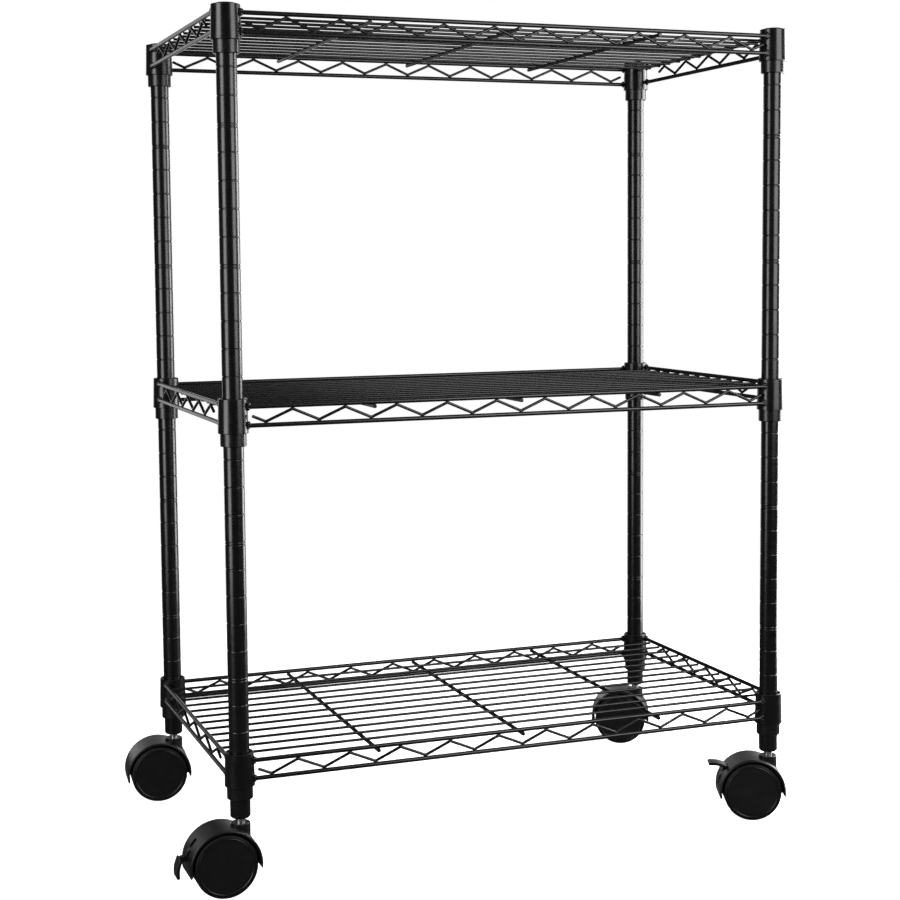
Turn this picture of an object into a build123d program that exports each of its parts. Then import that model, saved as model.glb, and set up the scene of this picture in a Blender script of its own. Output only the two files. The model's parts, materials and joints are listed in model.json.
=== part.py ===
from build123d import *
from math import cos, radians, sin, sqrt
import os

# A three-shelf wire rack on four twin-wheel casters, in millimetres.
# X runs along the shelves, -Y is the front, Z is up and the floor is at Z = 0.
# The four posts stand on a rectangle; every other place is worked out from it.

# ---------------------------------------------------------------- driving dimensions
post_spacing_x = 568.0  # between the posts' axes, along the shelves
post_spacing_y = 306.0  # between the posts' axes, front to back
rack_x = 19.77  # the turned casters reach further left and back than right and front,
rack_y = -8.42  # so the rack stands off the middle of the whole outline by this much

post_r = 19.05 / 2
post_wall = 1.0
post_bottom = 70.0
groove_pitch = 25.4
groove_depth = 0.45
groove_height = 1.8  # the groove's section is one round arc
groove_count = 30
first_groove = post_bottom + 6.2
double_every = 5  # every fifth groove has a second ring just below it
double_gap = 2.6
cap_height = 2.0
insert_flange = 2.5
insert_depth = 22.0

sleeve_notch = 13.4  # from a sleeve's lower end to the groove that holds it
sleeve_height = 41.0
sleeve_skirt = 12.0  # the part that shows below the collar
sleeve_wall_gap = 0.05
sleeve_r_bottom = 12.15
sleeve_r_top = 11.35
sleeve_seam = 0.8
sleeve_seam_turn = -50.0  # from X, in degrees
sleeve_bead = 0.35
sleeve_bead_height = 0.7

collar_height = 32.0
collar_gap = 0.3  # drawn between the collar and the sleeve that it wedges onto
collar_r_bottom = 14.2
collar_r_top = 13.4

rim_r = 2.1
truss_r = 1.4
deck_r = 1.35
cross_r = 1.9
weld = 0.1  # how far two crossing wires are pressed into each other at a weld
rim_offset_x = 9.7  # the side rim wires run outside the posts' axes by this much
rim_offset_y = 7.5  # the front and back ones
rim_drop = 7.6  # from the collar's top to the front and back upper rim wires
rim_spacing = 17.3  # upper to lower rim wire
truss_pitch = 51.0
truss_bend = 3.0
long_truss_bays = 10
short_truss_bays = 4
short_truss_shift = -3.0
deck_pitch = 23.7
deck_count = 12
deck_setback = 1.45  # the deck wires end this far inside the side rim wires' middles
side_rim_lift = 1.8  # the side rim wires are this much higher than the front and back ones
cross_spacing = 150.0
cross_count = 3
cross_overhang = 2.5

stem_r = 4.0
stem_bottom = 40.0
stem_gap = 4.8  # bare stem between the post's end and the caster
bearing_gap = 0.05
seat_gap = 0.02
trail = 18.0  # from the stem back to the axle
wheel_r = 30.0
tread_depth = 2.6
wheel_inner = 6.2  # from the caster's middle to a wheel's inner face
wheel_outer = 19.2
wheel_hub_r = 7.5
wheel_rim_wall = 2.6
wheel_lip = 1.0
tread_inner = wheel_inner + 0.4
tread_inner_edge = 0.8
tread_outer_edge = 2.2
axle_r = 3.0
axle_half = 16.5
axle_pocket_end = axle_half + 0.4
wheel_disc_back = axle_half - 0.7  # the axle's end stands this far into the wheel's disc
hood_r = 34.5
hood_wall = 2.2
hood_half = 19.5
hood_front_end = -8.0  # angles of the hood's two ends about the axle, in degrees
hood_back_end = 192.0
socket_r = 9.2
web_half = 5.2
web_rib = 1.0
hood_edge = 1.2
hood_end_bevel = 1.4
socket_edge = 0.6
hub_r = 9.0

lever_pivot = (-25.5, 9.3)  # from the axle: forward and up
lever_turn = 90.0  # from raised to pressed
lever_drum_r = 8.5
lever_arm_half = 2.9
lever_arm_back = -4.0
lever_arm_front = 0.6
lever_root = (-0.7, 13.9)  # the foot blade's middle line, raised, from the pivot
lever_crown = (-9.4, 17.1)
lever_tip = (-17.7, 17.4)
lever_blade_thick = 3.2
lever_blade_half = 7.5
lever_pin_r = 1.25
lever_clear = 0.9
slot_half = 3.2
slot_top = 135.0  # angles of the slot's two ends about the axle, in degrees
slot_foot = 173.0

# ---------------------------------------------------------------- places worked out from them
axle_z = wheel_r
socket_top = post_bottom - stem_gap


def groove(index):
    """Height of a post groove, counted from the lowest."""
    return first_groove + groove_pitch * index


# each shelf: its name, and the groove that its sleeves hang on
shelves = {"top": 28, "middle": 14, "bottom": 1}
# each corner: its place, and how far its axle is turned from front-to-back, in degrees
corners = {
    "front_left": (-1, -1, 0.0),
    "front_right": (1, -1, 22.5),
    "back_left": (-1, 1, 5.0),
    "back_right": (1, 1, 27.0),
}
levers = {"front_left": lever_turn, "front_right": 0.0}


def sleeve_foot(shelf):
    """Height of the lower end of a shelf's sleeves."""
    return groove(shelves[shelf]) - sleeve_notch


def collar_foot(shelf):
    """Height of the lower end of a shelf's collars."""
    return sleeve_foot(shelf) + sleeve_skirt


def upper_rim(shelf):
    """Height of the middle of a shelf's front and back upper rim wires."""
    return collar_foot(shelf) + collar_height - rim_drop


post_top = collar_foot("top") + collar_height - 0.8


def post_axis(corner):
    side, end, _ = corners[corner]
    return rack_x + side * post_spacing_x / 2, rack_y + end * post_spacing_y / 2


def level(corner, z):
    """A level plane centred on a post's axis."""
    x, y = post_axis(corner)
    return Plane((x, y, z))


pieces = {}


def keep(name, piece):
    """Give a finished piece its name and put it in the list to write."""
    piece.part.label = name
    pieces[name] = piece.part


def keep_copy(name, piece, place):
    """Keep a copy of a piece, moved to its place."""
    with BuildPart() as copy:
        with Locations(place):
            add(piece.part)
    keep(name, copy)


# ---------------------------------------------------------------- posts
# the posts are smooth below the lowest shelf's groove
rings = [groove(index) for index in range(1, groove_count)]
rings += [groove(index) - double_gap for index in range(double_every, groove_count, double_every)]
tube_foot = post_bottom + insert_flange
tube_bore = post_r - post_wall
with BuildPart() as post:
    with BuildSketch(Plane.XZ):
        with BuildLine():
            low = tube_foot
            for z in sorted(rings):
                Line((post_r, low), (post_r, z - groove_height / 2))
                low = z + groove_height / 2
                ThreePointArc((post_r, z - groove_height / 2), (post_r - groove_depth, z), (post_r, low))
            Polyline((post_r, low), (post_r, post_top), (tube_bore, post_top), (tube_bore, tube_foot))
            Line((tube_bore, tube_foot), (post_r, tube_foot))
        make_face()
    revolve(axis=Axis.Z)

for corner in corners:
    keep_copy("post_" + corner, post, Location((*post_axis(corner), 0)))

# a low domed cap in each post's upper end
with BuildPart() as post_caps:
    for corner in corners:
        with BuildSketch(level(corner, post_top)):
            Circle(post_r)
        extrude(amount=cap_height)
    fillet(post_caps.faces().sort_by(Axis.Z)[-4:].edges(), 1.2)
    for corner in corners:
        with BuildSketch(level(corner, post_top)):
            Circle(post_r - post_wall - seat_gap)
            Circle(post_r - post_wall - 2.5, mode=Mode.SUBTRACT)
        extrude(amount=-14)
keep("post_caps", post_caps)

# a flanged plug in each lower end, bored for the caster's stem
with BuildPart() as post_inserts:
    for corner in corners:
        with BuildSketch(level(corner, post_bottom)):
            Circle(post_r)
        extrude(amount=insert_flange)
    chamfer(post_inserts.faces().sort_by(Axis.Z)[:4].edges(), 1.6)
    for corner in corners:
        with BuildSketch(level(corner, post_bottom + insert_flange)):
            Circle(post_r - post_wall - seat_gap)
        extrude(amount=insert_depth)
    for corner in corners:
        with BuildSketch(level(corner, post_bottom - 1)):
            Circle(stem_r + seat_gap)
        extrude(amount=insert_flange + insert_depth + 2, mode=Mode.SUBTRACT)
keep("post_inserts", post_inserts)

with BuildPart() as caster_stems:
    for corner in corners:
        with BuildSketch(level(corner, stem_bottom)):
            Circle(stem_r)
        extrude(amount=post_bottom + insert_flange + insert_depth - stem_bottom - 3)
    chamfer(caster_stems.faces().group_by(Axis.Z)[-1].edges(), 0.8)
    chamfer(caster_stems.faces().group_by(Axis.Z)[0].edges(), 0.8)
keep("caster_stems", caster_stems)


# ---------------------------------------------------------------- shelf sleeves
def make_sleeves(shelf):
    """Two half shells on each post, with a bead in the post's groove."""
    foot = sleeve_foot(shelf)
    inner = post_r + sleeve_wall_gap
    bead_z = foot + sleeve_notch
    bead = sleeve_bead_height / 2
    with BuildPart() as sleeves:
        for corner in corners:
            x, y = post_axis(corner)
            with BuildSketch(Plane((x, y, 0), x_dir=(1, 0, 0), z_dir=(0, -1, 0))):
                with BuildLine():
                    Polyline(
                        (inner, foot),
                        (sleeve_r_bottom - 0.6, foot),
                        (sleeve_r_bottom, foot + 0.6),
                        (sleeve_r_bottom, foot + sleeve_skirt),
                        (sleeve_r_top, foot + sleeve_height),
                        (inner, foot + sleeve_height),
                        (inner, bead_z + bead),
                        (inner - sleeve_bead, bead_z + bead),
                        (inner - sleeve_bead, bead_z - bead),
                        (inner, bead_z - bead),
                        close=True,
                    )
                make_face()
            revolve(axis=Axis((x, y, 0), (0, 0, 1)))
            with BuildSketch(level(corner, foot - 1)):
                Rectangle(4 * post_r, sleeve_seam, rotation=sleeve_seam_turn)
            extrude(amount=sleeve_height + 2, mode=Mode.SUBTRACT)
    return sleeves


# ---------------------------------------------------------------- shelf corners and wires
def make_collars(shelf):
    """A tapered steel collar at each corner."""
    foot = collar_foot(shelf)
    taper = (sleeve_r_bottom - sleeve_r_top) / (sleeve_height - sleeve_skirt)
    bore_bottom = sleeve_r_bottom + collar_gap
    bore_top = bore_bottom - taper * collar_height
    with BuildPart() as collars:
        for corner in corners:
            x, y = post_axis(corner)
            with BuildSketch(Plane((x, y, foot), x_dir=(1, 0, 0), z_dir=(0, -1, 0))):
                with BuildLine():
                    Polyline(
                        (bore_bottom, 0),
                        (collar_r_bottom - 0.5, 0),
                        (collar_r_bottom, 0.5),
                        (collar_r_top, collar_height - 0.5),
                        (collar_r_top - 0.5, collar_height),
                        (bore_top, collar_height),
                        close=True,
                    )
                make_face()
            revolve(axis=Axis((x, y, 0), (0, 0, 1)))
    return collars


def collar_cones(shelf):
    """The collars' outer cones as solids, which the rim wires' ends are coped to."""
    slope = (collar_r_bottom - collar_r_top) / (collar_height - 1)
    with BuildPart() as cones:
        for corner in corners:
            with BuildSketch(level(corner, collar_foot(shelf))):
                Circle(collar_r_bottom + 0.5 * slope)
            with BuildSketch(level(corner, collar_foot(shelf) + collar_height)):
                Circle(collar_r_top - 0.5 * slope)
            loft()
    return cones


rim_x = post_spacing_x / 2 + rim_offset_x
rim_y = post_spacing_y / 2 + rim_offset_y


def make_rim_wires(shelf):
    """Upper and lower wires on the four sides, coped to the collars."""
    cones = collar_cones(shelf)
    with BuildPart() as rim:
        for z in (upper_rim(shelf), upper_rim(shelf) - rim_spacing):
            for sign in (-1, 1):
                start = (rack_x - post_spacing_x / 2, rack_y + sign * rim_y, z)
                with BuildSketch(Plane(start, z_dir=(1, 0, 0))):
                    Circle(rim_r)
                extrude(amount=post_spacing_x)
                start = (rack_x + sign * rim_x, rack_y - post_spacing_y / 2, z + side_rim_lift)
                with BuildSketch(Plane(start, z_dir=(0, 1, 0))):
                    Circle(rim_r)
                extrude(amount=post_spacing_y)
        add(cones.part, mode=Mode.SUBTRACT)
    return rim


def zigzag(bays, first_up, shift=0.0):
    """Corners of a truss wire with a half leg at each end, about its middle."""
    rise = rim_spacing / 2 - rim_r - truss_r + weld
    slope = 2 * rise / (truss_pitch / 2)
    rise += truss_bend * (sqrt(1 + slope**2) - 1)
    half = bays * truss_pitch / 2
    up = 1 if first_up else -1
    points = [(shift - half - truss_pitch / 4, 0.0)]
    for index in range(2 * bays + 1):
        points.append((shift - half + index * truss_pitch / 2, rise * up * (-1) ** index))
    points.append((shift + half + truss_pitch / 4, 0.0))
    return points


def make_truss_wires(shelf):
    """One zigzag wire between the rim wires on each side."""
    middle = upper_rim(shelf) - rim_spacing / 2
    runs = []
    for sign in (-1, 1):
        front = Plane((rack_x, rack_y + sign * rim_y, middle), x_dir=(1, 0, 0), z_dir=(0, -1, 0))
        side_middle = (rack_x + sign * rim_x, rack_y, middle + side_rim_lift)
        side = Plane(side_middle, x_dir=(0, 1, 0), z_dir=(1, 0, 0))
        runs.append((front, zigzag(long_truss_bays, False)))
        runs.append((side, zigzag(short_truss_bays, True, short_truss_shift)))
    with BuildPart() as truss:
        for plane, points in runs:
            with BuildLine(plane):
                path = FilletPolyline(*points, radius=truss_bend)
            with BuildSketch(Plane(path @ 0, z_dir=path % 0)):
                Circle(truss_r)
            sweep(path=path)
    return truss


def make_deck_wires(shelf):
    """The wires that things stand on. They lie on the cross wires and end at the side rim wires."""
    z = upper_rim(shelf) - rim_r + deck_r
    half = rim_x - deck_setback
    with BuildPart() as deck:
        for index in range(deck_count):
            y = rack_y + (index - (deck_count - 1) / 2) * deck_pitch
            with BuildSketch(Plane((rack_x - half, y, z), z_dir=(1, 0, 0))):
                Circle(deck_r)
            extrude(amount=2 * half)
    return deck


def make_cross_wires(shelf):
    """The straight wires under the deck and under the front and back rim wires."""
    z = upper_rim(shelf) - rim_r - cross_r + weld
    half = rim_y + cross_overhang
    with BuildPart() as cross:
        for index in range(cross_count):
            x = rack_x + (index - (cross_count - 1) / 2) * cross_spacing
            with BuildSketch(Plane((x, rack_y - half, z), z_dir=(0, 1, 0))):
                Circle(cross_r)
            extrude(amount=2 * half)
        fillet(cross.edges().filter_by(GeomType.CIRCLE), 0.5)
    return cross


for shelf in shelves:
    keep(shelf + "_sleeves", make_sleeves(shelf))
    keep(shelf + "_collars", make_collars(shelf))
    keep(shelf + "_rim_wires", make_rim_wires(shelf))
    keep(shelf + "_truss_wires", make_truss_wires(shelf))
    keep(shelf + "_deck_wires", make_deck_wires(shelf))
    keep(shelf + "_cross_wires", make_cross_wires(shelf))


# ---------------------------------------------------------------- casters
# Each piece is made once, about the middle of its caster's axle, with X towards the stem,
# Y along the axle and Z up. Plane.XZ is then the caster's side view. The copies are placed after.
def polar(radius, degrees):
    return radius * cos(radians(degrees)), radius * sin(radians(degrees))


def make_hood(slotted):
    """The moulded body: a hood over both wheels, a middle web and the stem's socket."""
    with BuildPart() as hood:
        with BuildSketch(Plane.XZ):
            Circle(hood_r)
            # the hood is open at the bottom, between its two ends
            with BuildLine():
                Polyline(
                    (0, 0),
                    polar(3 * hood_r, hood_front_end),
                    (0, -4 * hood_r),
                    polar(3 * hood_r, hood_back_end),
                    close=True,
                )
            make_face(mode=Mode.SUBTRACT)
        extrude(amount=hood_half, both=True)
        fillet(hood.edges().filter_by(GeomType.CIRCLE), hood_edge)
        with BuildSketch(Plane.XY.offset(hood_r / 2)):
            with Locations((trail, 0)):
                Circle(socket_r)
        extrude(amount=socket_top - axle_z - hood_r / 2)
        chamfer(hood.edges().group_by(Axis.Z)[-1], socket_edge)
        # the wheels' two pockets leave the web between them
        for side in (-1, 1):
            with BuildSketch(Plane.XZ.offset(side * web_half)):
                Circle(hood_r - hood_wall)
            extrude(amount=side * hood_half, mode=Mode.SUBTRACT)
        ends = hood.edges().filter_by(Axis.Y).filter_by(lambda edge: edge.center().Z < 0)
        inner_ends = ends.filter_by(lambda edge: abs(edge.center().X) < hood_r - hood_wall)
        chamfer(inner_ends, hood_end_bevel)
        # windows in the web leave its front half, the lever's lugs and a rib under the hood
        with BuildSketch(Plane.XZ):
            Circle(hood_r - hood_wall - web_rib)
            with BuildLine():
                Polyline(
                    (-5, 6),
                    (8, hood_r),
                    (hood_r, hood_r),
                    (hood_r, -3),
                    (5, -7),
                    close=True,
                )
            make_face(mode=Mode.SUBTRACT)
            with BuildLine():
                Polyline(
                    (0, 8),
                    polar(hood_r, 140),
                    polar(hood_r, 174),
                    (-4, -6),
                    close=True,
                )
            make_face(mode=Mode.SUBTRACT)
        extrude(amount=hood_half, both=True, mode=Mode.SUBTRACT)
        with BuildSketch(Plane.XZ):
            Circle(hub_r)
        extrude(amount=web_half, both=True)
        if slotted:
            # the slot that the lever works in leaves two lugs, which hold its pin
            with BuildSketch(Plane.XZ):
                with BuildLine():
                    Polyline(
                        polar(hub_r + 3, slot_top),
                        polar(2 * hood_r, slot_top),
                        polar(2 * hood_r, slot_foot),
                        polar(hub_r + 3, slot_foot),
                        close=True,
                    )
                make_face()
                with Locations(lever_pivot):
                    Circle(lever_drum_r + 0.5)
            extrude(amount=slot_half, both=True, mode=Mode.SUBTRACT)
            with BuildSketch(Plane.XZ):
                with Locations(lever_pivot):
                    Circle(lever_pin_r + seat_gap)
            extrude(amount=hood_half, both=True, mode=Mode.SUBTRACT)
        with BuildSketch(Plane.XY.offset(stem_bottom - axle_z - 1)):
            with Locations((trail, 0)):
                Circle(stem_r + bearing_gap)
        extrude(amount=socket_top, mode=Mode.SUBTRACT)
        with BuildSketch(Plane.XZ):
            Circle(axle_r + seat_gap)
        extrude(amount=hood_half, both=True, mode=Mode.SUBTRACT)
    return hood


def make_cross_pin(centre, radius, half_length):
    """A plain round pin across a caster."""
    with BuildPart() as pin:
        with BuildSketch(Plane.XZ):
            with Locations(centre):
                Circle(radius)
        extrude(amount=half_length, both=True)
        chamfer(pin.edges().filter_by(GeomType.CIRCLE), radius / 5)
    return pin


def wheel_plane(side):
    """Plane through the axle: x is the radius, y runs outwards along the axle."""
    return Plane((0, 0, 0), x_dir=(0, 0, 1), z_dir=(-side, 0, 0))


def make_wheel(side):
    """Hub, closed outer disc and rim, in one moulding. A round lip stands out around the disc."""
    rim = wheel_r - tread_depth
    lip_foot = wheel_outer - wheel_lip
    lip_inner = rim - 2 * wheel_lip
    bore = axle_r + bearing_gap
    with BuildPart() as wheel:
        with BuildSketch(wheel_plane(side)):
            with BuildLine():
                Polyline(
                    (lip_inner, lip_foot),
                    (0, lip_foot),
                    (0, axle_pocket_end),
                    (bore, axle_pocket_end),
                    (bore, wheel_inner),
                    (wheel_hub_r, wheel_inner),
                    (wheel_hub_r, wheel_disc_back),
                    (rim - wheel_rim_wall, wheel_disc_back),
                    (rim - wheel_rim_wall, tread_inner),
                    (rim, tread_inner),
                    (rim, lip_foot),
                )
                ThreePointArc((rim, lip_foot), (rim - wheel_lip, wheel_outer), (lip_inner, lip_foot))
            make_face()
        revolve(axis=Axis.Y)
    return wheel


def make_tread(side):
    """The ring that rolls on the floor, rounded outside."""
    with BuildPart() as tread:
        with BuildSketch(wheel_plane(side)) as section:
            with Locations((wheel_r - tread_depth / 2, (tread_inner + wheel_outer) / 2)):
                Rectangle(tread_depth, wheel_outer - tread_inner)
            fillet(section.vertices().group_by(Axis.X)[-1].sort_by(Axis.Y)[0], tread_inner_edge)
            fillet(section.vertices().group_by(Axis.X)[-1].sort_by(Axis.Y)[-1], tread_outer_edge)
        revolve(axis=Axis.Y)
    return tread


# the brake lever, about its own pivot and as it is when raised: a drum on the pin, an arm
# through the hood's slot, and the foot blade outside it
axle_raised = (-lever_pivot[0], -lever_pivot[1])  # the axle as the lever sees it
axle_pressed = (-lever_pivot[1], lever_pivot[0])
with BuildPart() as brake_lever:
    with BuildSketch(Plane.XZ):
        SlotArc(Edge.make_three_point_arc(lever_root, lever_crown, lever_tip), lever_blade_thick)
        with Locations(axle_raised, axle_pressed):
            Circle(hood_r + lever_clear, mode=Mode.SUBTRACT)
    extrude(amount=lever_blade_half, both=True)
    fillet(brake_lever.edges(), 0.6)
    with BuildSketch(Plane.XZ):
        Circle(lever_drum_r)
        with BuildLine():
            Polyline(
                (lever_arm_back, 0),
                (lever_arm_front, 0),
                (lever_arm_front, lever_root[1]),
                (lever_arm_back, lever_root[1] + 0.7),
                close=True,
            )
        make_face()
    extrude(amount=lever_arm_half, both=True)
    with BuildSketch(Plane.XZ):
        Circle(lever_pin_r + bearing_gap)
    extrude(amount=hood_half, both=True, mode=Mode.SUBTRACT)


def caster_place(corner):
    """The place of a caster's axle: behind the stem, and turned with the caster."""
    x, y = post_axis(corner)
    turn = corners[corner][2]
    back_x, back_y = polar(trail, 180 - turn)
    return Location((x + back_x, y + back_y, axle_z), (0, 0, -turn))


plain_hood = make_hood(slotted=False)
slotted_hood = make_hood(slotted=True)
axle = make_cross_pin((0, 0), axle_r, axle_half)
lever_pin = make_cross_pin(lever_pivot, lever_pin_r, web_half)
wheels = {"front": make_wheel(-1), "back": make_wheel(1)}
treads = {"front": make_tread(-1), "back": make_tread(1)}

for corner in corners:
    place = caster_place(corner)
    keep_copy(corner + "_hood", slotted_hood if corner in levers else plain_hood, place)
    keep_copy(corner + "_axle", axle, place)
    for end in wheels:
        keep_copy(f"{corner}_wheel_{end}", wheels[end], place)
        keep_copy(f"{corner}_tread_{end}", treads[end], place)
    if corner in levers:
        pressed = Location((lever_pivot[0], 0, lever_pivot[1]), (0, -levers[corner], 0))
        keep_copy(corner + "_brake_lever", brake_lever, place * pressed)
        keep_copy(corner + "_lever_pin", lever_pin, place)

# ---------------------------------------------------------------- one STEP file for each piece
os.makedirs("parts", exist_ok=True)
for name, piece in pieces.items():
    export_step(piece, f"parts/{name}.step")
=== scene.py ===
"""A black wire shelving rack on twin-wheel casters.

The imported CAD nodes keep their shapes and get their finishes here. Welds, floor, lights and camera
are added around them. Lengths are in metres, in the same frame as the CAD.
"""

import json
import math
import random

import bmesh
import bpy
from mathutils import Matrix, Vector, noise


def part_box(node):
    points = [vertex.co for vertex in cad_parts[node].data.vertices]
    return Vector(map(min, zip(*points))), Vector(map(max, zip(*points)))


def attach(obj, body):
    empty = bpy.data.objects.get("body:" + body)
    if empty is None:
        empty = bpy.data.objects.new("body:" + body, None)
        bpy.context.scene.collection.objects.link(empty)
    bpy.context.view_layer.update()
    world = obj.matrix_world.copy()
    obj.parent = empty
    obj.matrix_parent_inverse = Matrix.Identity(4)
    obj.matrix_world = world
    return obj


MM = 0.001
SHELVES = ("top", "middle", "bottom")
CORNERS = ("front_left", "front_right", "back_left", "back_right")

# the wires' sizes and spacings, as in the CAD
RIM_R = 2.1 * MM
SIDE_LIFT = 1.8 * MM  # the side rim wires are higher than the front and back ones
DECK_R = 1.35 * MM
TRUSS_PITCH = 51.0 * MM
LONG_TRUSS_BAYS = 10
SHORT_TRUSS_BAYS = 4
SHORT_TRUSS_SHIFT = -3.0 * MM
DECK_COUNT = 12
CROSS_COUNT = 3
CROSS_SPACING = 150.0 * MM
COLLAR_R = 13.8 * MM  # halfway up its taper

# the weld nuggets' half lengths: along the wire, across it and up
BEAD_ABOVE = (2.9 * MM, 2.4 * MM, 2.4 * MM)
BEAD_BELOW = (2.4 * MM, 2.2 * MM, 1.9 * MM)
TRUSS_NUGGET = (2.1 * MM, 1.15 * MM, 0.75 * MM)
DECK_NUGGET = (1.5 * MM, 1.3 * MM, 0.5 * MM)
CROSS_NUGGET = (2.0 * MM, 1.6 * MM, 0.6 * MM)

# the beads at a collar: how far they stand off its surface, to the wire's outside and up or down
BEAD_STANDOFF = 0.3 * MM
BEAD_SHIFT = 0.2 * MM
BEAD_RISE = 1.6 * MM

# how rough the welds are, as a share of their size, and how many lumps a half length holds
BEAD_LUMP = 0.35
NUGGET_LUMP = 0.12
LUMPS = 1.7
WELD_SEED = 11
NOISE_SPAN = 50  # each weld takes its lumps from somewhere in this much noise

NOISE_RANGE = (0.3, 0.7)  # where a noise's values mostly lie
TINT_RANGE = (0.35, 0.7)  # the noise's values for a tint's dark and light colours

FLOOR_R = 6.0
FLOOR_FADE = (0.6, 1.6)  # from here to here the floor fades out
FLOOR_GLOW = 0.95

# the lit screen that reflections see: its direction and its soft edges, each from dark to lit
SCREEN_AIM = (0.26, 0.966, 0.0)
SCREEN_SIDES = (0.78, 0.87)  # cosines of the angle to the screen's middle
SCREEN_FOOT = (-0.3, -0.15)  # sines of the height over the horizon
SCREEN_TOP = (0.27, 0.15)
SCREEN_GLOW = 1.3
ROOM_GLOW = 0.07

AREA_LIGHT_WATTS = 4  # for a radiance of 1 over a square metre

CAMERA_ANGLES = (20.8, -4.72, -0.47)  # yaw, pitch and roll in degrees
CAMERA_FROM_RACK = (-0.6479, -1.6717)
CAMERA_HEIGHT = 0.5873
CAMERA_LENS = 67.85  # millimetres on a 36 mm wide sensor
CAMERA_SHIFT = -0.0556

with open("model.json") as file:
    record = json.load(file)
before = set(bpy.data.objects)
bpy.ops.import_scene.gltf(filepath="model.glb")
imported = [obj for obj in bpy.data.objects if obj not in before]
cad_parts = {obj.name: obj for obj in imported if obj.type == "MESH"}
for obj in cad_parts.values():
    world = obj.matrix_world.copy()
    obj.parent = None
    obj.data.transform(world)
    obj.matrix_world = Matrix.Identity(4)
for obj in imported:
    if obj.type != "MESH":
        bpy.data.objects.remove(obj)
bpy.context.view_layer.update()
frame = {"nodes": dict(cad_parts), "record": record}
scene = bpy.context.scene
scene.view_settings.view_transform = "Standard"


# ---------------------------------------------------------------- places, all from the frame
def middle_of(node):
    low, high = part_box(node)
    return (low + high) / 2


POSTS = {corner: middle_of("post_" + corner) for corner in CORNERS}
RACK_X = sum(p.x for p in POSTS.values()) / len(POSTS)
RACK_Y = sum(p.y for p in POSTS.values()) / len(POSTS)


class Shelf:
    """The heights and sides of one shelf's wires, measured to the wires' middles.

    upper and lower are the front and back rim wires' heights.
    """

    def __init__(self, name):
        low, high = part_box(name + "_rim_wires")
        self.upper = high.z - RIM_R - SIDE_LIFT
        self.lower = low.z + RIM_R
        self.side_x = (high.x - low.x) / 2 - RIM_R
        self.side_y = (high.y - low.y) / 2 - RIM_R
        deck_low, deck_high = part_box(name + "_deck_wires")
        self.deck_z = (deck_low.z + deck_high.z) / 2
        self.deck_half = (deck_high.y - deck_low.y) / 2 - DECK_R


# ---------------------------------------------------------------- materials
def new_material(name, colour, roughness, specular=0.5, metallic=0.0):
    """A Principled material. The constants sit on the shader's own sockets."""
    material = bpy.data.materials.new(name)
    material.use_nodes = True
    shader = material.node_tree.nodes["Principled BSDF"]
    shader.inputs["Base Color"].default_value = (*colour, 1)
    shader.inputs["Roughness"].default_value = roughness
    shader.inputs["Specular IOR Level"].default_value = specular
    shader.inputs["Metallic"].default_value = metallic
    return material, material.node_tree.nodes, material.node_tree.links, shader


def noise_node(nodes, links, scale, detail=3.0, stretch=(1, 1, 1)):
    """Noise fixed to the object, with its cells this many to the metre."""
    place = nodes.new("ShaderNodeTexCoord")
    mapping = nodes.new("ShaderNodeMapping")
    mapping.inputs["Scale"].default_value = stretch
    texture = nodes.new("ShaderNodeTexNoise")
    texture.inputs["Scale"].default_value = scale
    texture.inputs["Detail"].default_value = detail
    links.new(place.outputs["Object"], mapping.inputs["Vector"])
    links.new(mapping.outputs["Vector"], texture.inputs["Vector"])
    return texture.outputs["Fac"]


def vary(nodes, links, fac, low, high, target):
    """Drive a number socket between two values by a noise."""
    span = nodes.new("ShaderNodeMapRange")
    span.inputs["From Min"].default_value, span.inputs["From Max"].default_value = NOISE_RANGE
    span.inputs["To Min"].default_value = low
    span.inputs["To Max"].default_value = high
    links.new(fac, span.inputs["Value"])
    links.new(span.outputs["Result"], target)


def tint(nodes, links, fac, dark, light, target):
    """Drive a colour socket between two colours by a noise."""
    ramp = nodes.new("ShaderNodeValToRGB")
    for stop, position, colour in zip(ramp.color_ramp.elements, TINT_RANGE, (dark, light)):
        stop.position = position
        stop.color = (*colour, 1)
    links.new(fac, ramp.inputs["Fac"])
    links.new(ramp.outputs["Color"], target)


def bump(nodes, links, fac, strength, distance, shader, under=None):
    """A height from a noise, on top of another bump if one is given."""
    node = nodes.new("ShaderNodeBump")
    node.inputs["Strength"].default_value = strength
    node.inputs["Distance"].default_value = distance
    links.new(fac, node.inputs["Height"])
    if under is not None:
        links.new(under.outputs["Normal"], node.inputs["Normal"])
    links.new(node.outputs["Normal"], shader.inputs["Normal"])
    return node


def powder_coat():
    """Satin black powder coat: a soft orange peel and a faint mottle in the gloss."""
    middle = (0.0028, 0.0028, 0.003)
    dark, light = (0.0022, 0.0022, 0.0024), (0.0036, 0.0036, 0.0038)
    material, nodes, links, shader = new_material("coated_steel", middle, roughness=0.24)
    mottle = noise_node(nodes, links, scale=60)
    tint(nodes, links, mottle, dark, light, shader.inputs["Base Color"])
    gloss = noise_node(nodes, links, scale=130)
    vary(nodes, links, gloss, 0.21, 0.27, shader.inputs["Roughness"])
    orange_peel = noise_node(nodes, links, scale=550, detail=2)
    peel = bump(nodes, links, orange_peel, 0.3, 0.05 * MM, shader)
    fine = noise_node(nodes, links, scale=2600, detail=2)
    bump(nodes, links, fine, 0.1, 0.01 * MM, shader, under=peel)
    return material


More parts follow.
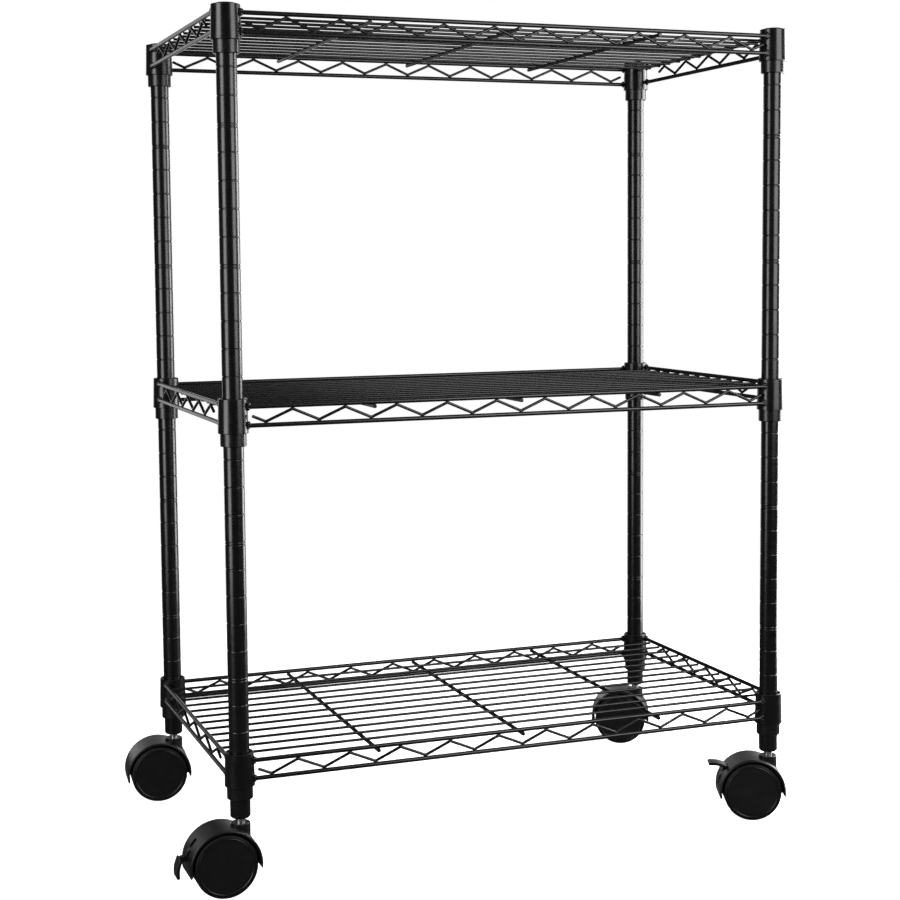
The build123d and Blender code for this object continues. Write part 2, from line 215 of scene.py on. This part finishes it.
def moulded(name, dark, light, roughness, grain, specular=0.5):
    """Moulded plastic or rubber in greys from dark to light, with a fine spark-eroded grain.

    roughness holds its lowest and highest values.
    """
    dark, light = (dark,) * 3, (light,) * 3
    material, nodes, links, shader = new_material(name, dark, roughness[0], specular)
    mottle = noise_node(nodes, links, scale=90)
    tint(nodes, links, mottle, dark, light, shader.inputs["Base Color"])
    gloss = noise_node(nodes, links, scale=220)
    vary(nodes, links, gloss, *roughness, shader.inputs["Roughness"])
    waves = noise_node(nodes, links, scale=120, detail=2)
    flow = bump(nodes, links, waves, 0.15, 0.1 * MM, shader)
    fine = noise_node(nodes, links, scale=3500, detail=3)
    bump(nodes, links, fine, grain, 0.03 * MM, shader, under=flow)
    return material


def zinc():
    """Bright zinc plate with fine lengthwise drawing marks."""
    middle, dark, light = (0.62, 0.62, 0.6), (0.5, 0.5, 0.49), (0.72, 0.72, 0.7)
    material, nodes, links, shader = new_material("zinc_steel", middle, 0.25, metallic=1.0)
    marks = noise_node(nodes, links, scale=900, detail=4, stretch=(1, 1, 0.05))
    tint(nodes, links, marks, dark, light, shader.inputs["Base Color"])
    gloss = noise_node(nodes, links, scale=400)
    vary(nodes, links, gloss, 0.16, 0.34, shader.inputs["Roughness"])
    bump(nodes, links, marks, 0.3, 0.02 * MM, shader)
    return material


MATERIALS = {
    "coated_steel": powder_coat(),
    "sleeve_plastic": moulded("sleeve_plastic", 0.0025, 0.0042, (0.24, 0.32), grain=0.2),
    "caster_plastic": moulded("caster_plastic", 0.0045, 0.0065, (0.28, 0.36), grain=0.25),
    "wheel_plastic": moulded("wheel_plastic", 0.005, 0.0075, (0.22, 0.28), grain=0.2),
    "tread_rubber": moulded("tread_rubber", 0.002, 0.003, (0.5, 0.62), grain=0.5, specular=0.3),
    "zinc_steel": zinc(),
}


def dress_nodes():
    """Give every CAD node the material of its slot in the record."""
    for entry in frame["record"]["subparts"]:
        mesh = frame["nodes"][entry["node"]].data
        mesh.materials.clear()
        mesh.materials.append(MATERIALS[entry["material_slot"]])


dress_nodes()


# ---------------------------------------------------------------- building pieces
def finish_piece(bm, name, body, slot):
    """Turn a bmesh into a smooth-shaded piece that rides on a body."""
    mesh = bpy.data.meshes.new(name)
    bm.to_mesh(mesh)
    bm.free()
    mesh.polygons.foreach_set("use_smooth", [True] * len(mesh.polygons))
    mesh.materials.append(MATERIALS[slot])
    piece = bpy.data.objects.new(name, mesh)
    scene.collection.objects.link(piece)
    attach(piece, body)


def add_blob(bm, centre, along, size, rng, lump=NUGGET_LUMP):
    """A lumpy ellipsoid of weld metal on a level wire that runs in the direction of along.

    size holds its half lengths: along the wire, across it and up.
    """
    made = bmesh.ops.create_icosphere(bm, subdivisions=2, radius=1.0)["verts"]
    up = Vector((0, 0, 1))
    turn = Matrix((along, up.cross(along), up)).transposed()
    seed = Vector([rng.uniform(0, NOISE_SPAN) for _ in range(3)])
    for vert in made:
        swell = 1 + lump * noise.noise(vert.co * LUMPS + seed)
        shaped = Vector([vert.co[i] * size[i] * swell for i in range(3)])
        vert.co = centre + turn @ shaped


def collar_welds(bm, shelf, rng):
    """The beads where each rim wire runs into a collar: a long one above it, a small one below."""
    for post in POSTS.values():
        centre = Vector((post.x, post.y, 0))
        out = Vector((math.copysign(1, post.x - RACK_X), math.copysign(1, post.y - RACK_Y), 0))
        offset_x = shelf.side_x - abs(post.x - RACK_X)
        offset_y = shelf.side_y - abs(post.y - RACK_Y)
        # axis 0 is a front or back rim wire, axis 1 a side one
        for axis, offset, lift in ((0, offset_y, 0), (1, offset_x, SIDE_LIFT)):
            along = Vector((0, 0, 0))
            along[axis] = -out[axis]
            across = Vector((0, 0, 0))
            across[1 - axis] = out[1 - axis]
            reach = math.sqrt(COLLAR_R**2 - offset**2) + BEAD_STANDOFF
            rise = Vector((0, 0, BEAD_RISE))
            for z in (shelf.upper + lift, shelf.lower + lift):
                end = centre + along * reach + across * (offset + BEAD_SHIFT) + Vector((0, 0, z))
                add_blob(bm, end + rise, along, BEAD_ABOVE, rng, BEAD_LUMP)
                add_blob(bm, end - rise, along, BEAD_BELOW, rng, BEAD_LUMP)


def truss_welds(bm, shelf, rng):
    """The nuggets where the zigzag wires touch the rim wires."""
    to_front, to_side = Vector((0, shelf.side_y, 0)), Vector((shelf.side_x, 0, 0))
    # the bays, the zigzag's shift along its rim, 1 if its ends are up or -1 if they are down,
    # the rim's lift, its direction and the way out to it
    runs = (
        (LONG_TRUSS_BAYS, 0.0, -1, 0.0, Vector((1, 0, 0)), to_front),
        (SHORT_TRUSS_BAYS, SHORT_TRUSS_SHIFT, 1, SIDE_LIFT, Vector((0, 1, 0)), to_side),
    )
    for bays, shift, first, lift, along, out in runs:
        for side in (-1, 1):
            for index in range(2 * bays + 1):
                distance = shift + (index - bays) * TRUSS_PITCH / 2
                is_upper = first * (-1) ** index > 0
                z = shelf.upper - RIM_R if is_upper else shelf.lower + RIM_R
                centre = Vector((RACK_X, RACK_Y, z + lift)) + along * distance + out * side
                add_blob(bm, centre, along, TRUSS_NUGGET, rng)


def deck_welds(bm, shelf, rng):
    """The nuggets where deck, cross and rim wires cross."""
    pitch = 2 * shelf.deck_half / (DECK_COUNT - 1)
    cross_xs = [RACK_X + (i - (CROSS_COUNT - 1) / 2) * CROSS_SPACING for i in range(CROSS_COUNT)]
    along = Vector((1, 0, 0))
    for index in range(DECK_COUNT):
        y = RACK_Y - shelf.deck_half + index * pitch
        for side in (-1, 1):
            end = Vector((RACK_X + side * (shelf.side_x - RIM_R), y, shelf.deck_z + DECK_R / 2))
            add_blob(bm, end, along, DECK_NUGGET, rng)
        for x in cross_xs:
            add_blob(bm, Vector((x, y, shelf.deck_z - DECK_R)), along, DECK_NUGGET, rng)
    for x in cross_xs:
        for side in (-1, 1):
            centre = Vector((x, RACK_Y + side * shelf.side_y, shelf.upper - RIM_R))
            add_blob(bm, centre, along, CROSS_NUGGET, rng)


def make_welds():
    for number, name in enumerate(SHELVES):
        shelf = Shelf(name)
        rng = random.Random(WELD_SEED + number)
        bm = bmesh.new()
        collar_welds(bm, shelf, rng)
        truss_welds(bm, shelf, rng)
        deck_welds(bm, shelf, rng)
        finish_piece(bm, name + "_welds", name + "_shelf", "coated_steel")


make_welds()


# ---------------------------------------------------------------- floor, lights and camera
def ray_switch(nodes, links, seen, other):
    """A number that is one value in the picture and another in reflections and bounced light."""
    path = nodes.new("ShaderNodeLightPath")
    switch = nodes.new("ShaderNodeMapRange")
    switch.inputs["To Min"].default_value = other
    switch.inputs["To Max"].default_value = seen
    links.new(path.outputs["Is Camera Ray"], switch.inputs["Value"])
    return switch.outputs["Result"]


def ramp_between(nodes, links, value, start, end):
    """A smooth step from 0 at start to 1 at end."""
    step = nodes.new("ShaderNodeMapRange")
    step.interpolation_type = "SMOOTHSTEP"
    step.inputs["From Min"].default_value = start
    step.inputs["From Max"].default_value = end
    links.new(value, step.inputs["Value"])
    return step.outputs["Result"]


def make_floor():
    """A pale round floor that fades into the white background. Reflections see a dark one."""
    bm = bmesh.new()
    bmesh.ops.create_circle(bm, cap_ends=True, segments=96, radius=FLOOR_R)
    mesh = bpy.data.meshes.new("floor")
    bm.to_mesh(mesh)
    bm.free()
    floor = bpy.data.objects.new("floor", mesh)
    scene.collection.objects.link(floor)
    material, nodes, links, pale = new_material("floor", (0.9, 0.9, 0.9), 1.0, specular=0.0)
    pale.inputs["Emission Color"].default_value = (1, 1, 1, 1)
    pale.inputs["Emission Strength"].default_value = FLOOR_GLOW
    dark = nodes.new("ShaderNodeBsdfDiffuse")
    dark.inputs["Color"].default_value = (0.1, 0.1, 0.1, 1)
    seen = nodes.new("ShaderNodeMixShader")
    links.new(ray_switch(nodes, links, 1.0, 0.0), seen.inputs["Fac"])
    links.new(dark.outputs["BSDF"], seen.inputs[1])
    links.new(pale.outputs["BSDF"], seen.inputs[2])
    place = nodes.new("ShaderNodeTexCoord")
    distance = nodes.new("ShaderNodeVectorMath")
    distance.operation = "LENGTH"
    links.new(place.outputs["Object"], distance.inputs[0])
    gone = ramp_between(nodes, links, distance.outputs["Value"], *FLOOR_FADE)
    clear = nodes.new("ShaderNodeBsdfTransparent")
    faded = nodes.new("ShaderNodeMixShader")
    links.new(gone, faded.inputs["Fac"])
    links.new(seen.outputs["Shader"], faded.inputs[1])
    links.new(clear.outputs["BSDF"], faded.inputs[2])
    links.new(faded.outputs["Shader"], nodes["Material Output"].inputs["Surface"])
    mesh.materials.append(material)


def make_world():
    """White in the picture. Reflections see a dark room with a lit screen behind the rack."""
    world = bpy.data.worlds.new("studio")
    scene.world = world
    world.use_nodes = True
    nodes, links = world.node_tree.nodes, world.node_tree.links
    place = nodes.new("ShaderNodeTexCoord")
    parts = nodes.new("ShaderNodeSeparateXYZ")
    links.new(place.outputs["Generated"], parts.inputs["Vector"])
    aim = nodes.new("ShaderNodeVectorMath")
    aim.operation = "DOT_PRODUCT"
    aim.inputs[1].default_value = SCREEN_AIM
    links.new(place.outputs["Generated"], aim.inputs[0])
    screen = ramp_between(nodes, links, aim.outputs["Value"], *SCREEN_SIDES)
    for edge in (SCREEN_FOOT, SCREEN_TOP):
        product = nodes.new("ShaderNodeMath")
        product.operation = "MULTIPLY"
        links.new(screen, product.inputs[0])
        links.new(ramp_between(nodes, links, parts.outputs["Z"], *edge), product.inputs[1])
        screen = product.outputs["Value"]
    lit = nodes.new("ShaderNodeMapRange")
    lit.inputs["To Min"].default_value = ROOM_GLOW
    lit.inputs["To Max"].default_value = SCREEN_GLOW
    links.new(screen, lit.inputs["Value"])
    room = nodes.new("ShaderNodeBackground")
    links.new(lit.outputs["Result"], room.inputs["Strength"])
    white = nodes["Background"]
    white.inputs["Color"].default_value = (1, 1, 1, 1)
    seen = nodes.new("ShaderNodeMixShader")
    links.new(ray_switch(nodes, links, 1.0, 0.0), seen.inputs["Fac"])
    links.new(room.outputs["Background"], seen.inputs[1])
    links.new(white.outputs["Background"], seen.inputs[2])
    links.new(seen.outputs["Shader"], nodes["World Output"].inputs["Surface"])


def add_softbox(name, place, size, radiance, aim):
    """A rectangular area light, aimed at a point and as bright as its radiance says."""
    data = bpy.data.lights.new(name, "AREA")
    data.shape = "RECTANGLE"
    data.size, data.size_y = size
    data.energy = AREA_LIGHT_WATTS * size[0] * size[1] * radiance
    light = bpy.data.objects.new(name, data)
    light.location = place
    light.rotation_mode = "QUATERNION"
    light.rotation_quaternion = (Vector(aim) - Vector(place)).to_track_quat("-Z", "Y")
    light.visible_camera = False
    scene.collection.objects.link(light)


def make_lights():
    """A faint overhead light, and three upright ones aimed level at the rack's middle."""
    add_softbox("overhead", (-0.3, -0.2, 2.6), (2.6, 2.6), radiance=0.22, aim=(0, 0, 0))
    add_softbox("left", (-1.25, -0.55, 0.75), (0.6, 1.3), radiance=4.5, aim=(0, 0, 0.75))
    add_softbox("right_front", (0.63, -1.08, 0.85), (0.8, 0.9), radiance=4.0, aim=(0, 0, 0.85))
    add_softbox("right", (0.92, 0.05, 0.5), (0.55, 0.95), radiance=8.0, aim=(0, 0, 0.5))


def make_camera():
    """The view: a long lens in front and a little to the left, at shelf height."""
    yaw, pitch, roll = (math.radians(angle) for angle in CAMERA_ANGLES)
    flat = math.cos(pitch)
    forward = Vector((math.sin(yaw) * flat, math.cos(yaw) * flat, math.sin(pitch)))
    level = Vector((math.cos(yaw), -math.sin(yaw), 0))
    upright = level.cross(forward)
    right = level * math.cos(roll) + upright * math.sin(roll)
    up = upright * math.cos(roll) - level * math.sin(roll)
    data = bpy.data.cameras.new("camera")
    data.sensor_width = 36.0
    data.lens = CAMERA_LENS
    data.shift_y = CAMERA_SHIFT
    data.clip_start = 0.05
    data.clip_end = 100
    camera = bpy.data.objects.new("camera", data)
    turn = Matrix((right, up, -forward)).transposed().to_4x4()
    ahead_x, ahead_y = CAMERA_FROM_RACK
    place = Vector((RACK_X + ahead_x, RACK_Y + ahead_y, CAMERA_HEIGHT))
    camera.matrix_world = Matrix.Translation(place) @ turn
    scene.collection.objects.link(camera)
    scene.camera = camera


make_floor()
make_world()
make_lights()
make_camera()
